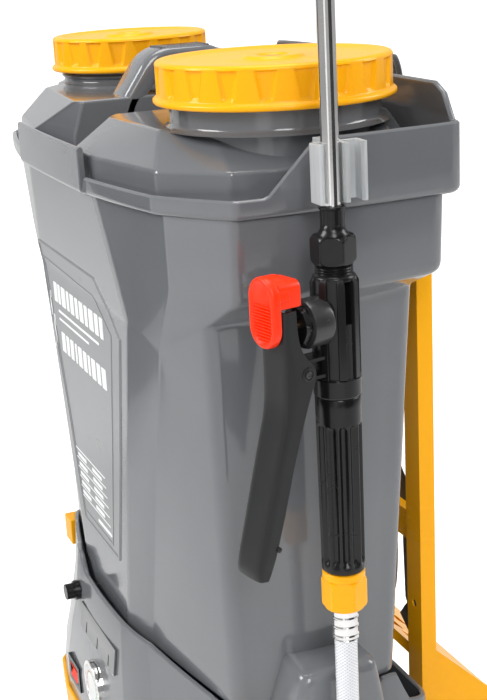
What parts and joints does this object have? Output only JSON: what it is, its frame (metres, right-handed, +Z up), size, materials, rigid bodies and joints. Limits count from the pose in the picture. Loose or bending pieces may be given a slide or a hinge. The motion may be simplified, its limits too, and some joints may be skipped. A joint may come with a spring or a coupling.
{
  "type": "backpack sprayer",
  "caption": "Battery knapsack sprayer with twin filler caps, spill tray, carrying handle, back frame with straps, and a telescopic lance on a trigger valve.",
  "frame": {"origin": "on the ground, on the tank's symmetry plane, below the line through the centres of the two filler caps", "axes": "+Z up, -Y towards the control side, +Y towards the wearer's back, +X towards the parked lance"},
  "size_m": [0.4514, 0.2653, 0.9793],
  "materials": {
    "tank_plastic": "moulded grey polyethylene, glossy",
    "amber_plastic": "moulded amber yellow, glossy",
    "panel_plastic": "dark grey, high gloss",
    "black_plastic": "black nylon, satin",
    "lever_plastic": "charcoal nylon, fine grain",
    "latch_plastic": "orange red, satin",
    "frosted_plastic": "frosted translucent",
    "rubber": "soft black rubber",
    "tube_chrome": "polished stainless steel",
    "steel": "bright zinc plated",
    "brass": "machined brass",
    "hose_white": "clear hose with white braid",
    "clear_hose": "clear vinyl tube",
    "strap_fabric": "black polyester mesh and webbing",
    "label_film": "printed film, no text",
    "lens": "clear polycarbonate",
    "mesh_plastic": "white moulded strainer",
    "pack_blue": "wrapped battery pack"
  },
  "bodies": {
    "chassis": {"tank_shell": "tank_plastic", "label_plate": "label_film", "base_shell": "tank_plastic", "base_floor": "black_plastic", "feet": "rubber", "base_trim": "amber_plastic", "control_panel": "panel_plastic", "battery_pack": "pack_blue", "battery_door_pin": "steel", "pump_body": "black_plastic", "pump_motor": "steel", "suction_hose": "clear_hose", "delivery_link": "clear_hose", "tank_outlet": "black_plastic", "strainer_basket": "mesh_plastic", "gauge_bezel": "tube_chrome", "gauge_lens": "lens", "switch_housing": "black_plastic", "charging_socket": "black_plastic", "back_frame": "amber_plastic", "frame_screws": "steel", "shoulder_yoke": "strap_fabric", "shoulder_strap_left": "strap_fabric", "shoulder_strap_right": "strap_fabric", "lumbar_pad": "strap_fabric", "strap_buckles": "black_plastic", "strap_webbing": "strap_fabric", "lance_clip": "frosted_plastic", "outlet_pin": "steel"},
    "big_cap_seal": {"big_cap_gasket": "rubber"},
    "big_cap": {"big_cap": "amber_plastic", "big_cap_vent": "amber_plastic"},
    "small_cap_seal": {"small_cap_gasket": "rubber"},
    "small_cap": {"small_cap": "amber_plastic"},
    "battery_door": {"battery_door": "tank_plastic"},
    "regulator_knob": {"regulator_knob": "black_plastic"},
    "rocker_switch": {"rocker_switch": "latch_plastic"},
    "socket_cover": {"socket_cover": "rubber"},
    "handset": {"hose_swivel": "black_plastic", "delivery_hose": "hose_white", "crimp_ferrule": "tube_chrome", "hose_nut": "amber_plastic", "hose_tail": "brass", "grip": "black_plastic", "valve_body": "black_plastic", "bonnet_nut": "black_plastic", "valve_seal": "rubber", "valve_spring": "steel", "lance_nut": "black_plastic", "lance_gland": "black_plastic", "lance_tube": "tube_chrome"},
    "valve_stem": {"valve_stem": "brass"},
    "lever": {"lever": "lever_plastic", "lever_pin": "steel"},
    "latch": {"latch": "latch_plastic", "latch_pin": "steel"},
    "collet_nut": {"collet_nut": "black_plastic"},
    "inner_lance": {"lance_inner_tube": "tube_chrome", "nozzle_elbow": "black_plastic"},
    "nozzle_cap": {"nozzle_cap": "brass"}
  },
  "joints": [
    {"name": "big_cap_lift", "type": "slide", "parent": "chassis", "child": "big_cap_seal", "axis": [0, 0, 1], "range_m": [0, 0.06]},
    {"name": "big_cap_turn", "type": "hinge", "parent": "big_cap_seal", "child": "big_cap", "pos_m": [0.125, 0, 0.54], "axis": [0, 0, 1], "range_deg": [0, 540]},
    {"name": "small_cap_lift", "type": "slide", "parent": "chassis", "child": "small_cap_seal", "axis": [0, 0, 1], "range_m": [0, 0.06]},
    {"name": "small_cap_turn", "type": "hinge", "parent": "small_cap_seal", "child": "small_cap", "pos_m": [-0.136, 0, 0.54], "axis": [0, 0, 1], "range_deg": [0, 450]},
    {"name": "battery_door_hinge", "type": "hinge", "parent": "chassis", "child": "battery_door", "pos_m": [-0.1805, -0.005, 0.047], "axis": [0, -1, 0], "range_deg": [0, 100]},
    {"name": "regulator_turn", "type": "hinge", "parent": "chassis", "child": "regulator_knob", "pos_m": [-0.045, -0.1, 0.17], "axis": [0, -1, 0], "range_deg": [0, 270]},
    {"name": "rocker_tilt", "type": "hinge", "parent": "chassis", "child": "rocker_switch", "pos_m": [-0.053, -0.0996, 0.1], "axis": [1, 0, 0], "range_deg": [-8, 8]},
    {"name": "socket_cover_hinge", "type": "hinge", "parent": "chassis", "child": "socket_cover", "pos_m": [0.048, -0.1054, 0.086], "axis": [1, 0, 0], "range_deg": [0, 110]},
    {"name": "handset_swing", "type": "hinge", "parent": "chassis", "child": "handset", "pos_m": [0.226, -0.015, 0.112], "axis": [0, 1, 0], "range_deg": [0, 70]},
    {"name": "lever_squeeze", "type": "hinge", "parent": "handset", "child": "lever", "pos_m": [0.23147, -0.04072, 0.4025], "axis": [0.9781, 0.2079, 0], "range_deg": [0, 13], "deforming": ["valve_spring"]},
    {"name": "stem_travel", "type": "slide", "parent": "handset", "child": "valve_stem", "axis": [0.2079, -0.9781, 0], "range_m": [0, 0.0062]},
    {"name": "latch_flip", "type": "hinge", "parent": "lever", "child": "latch", "pos_m": [0.23286, -0.04728, 0.4435], "axis": [-0.9781, -0.2079, 0], "range_deg": [0, 14]},
    {"name": "collet_turn", "type": "hinge", "parent": "handset", "child": "collet_nut", "pos_m": [0.226, -0.015, 0.9], "axis": [0, 0, 1], "range_deg": [0, 180]},
    {"name": "lance_extend", "type": "slide", "parent": "handset", "child": "inner_lance", "axis": [0, 0, 1], "range_m": [0, 0.3]},
    {"name": "nozzle_turn", "type": "hinge", "parent": "inner_lance", "child": "nozzle_cap", "pos_m": [0.226, -0.037, 0.97], "axis": [0, -0.7399, 0.6727], "range_deg": [0, 360]}
  ],
  "couplings": [
    {"joint": "stem_travel", "follows": "lever_squeeze", "m_per_rad": 0.027}
  ]
}
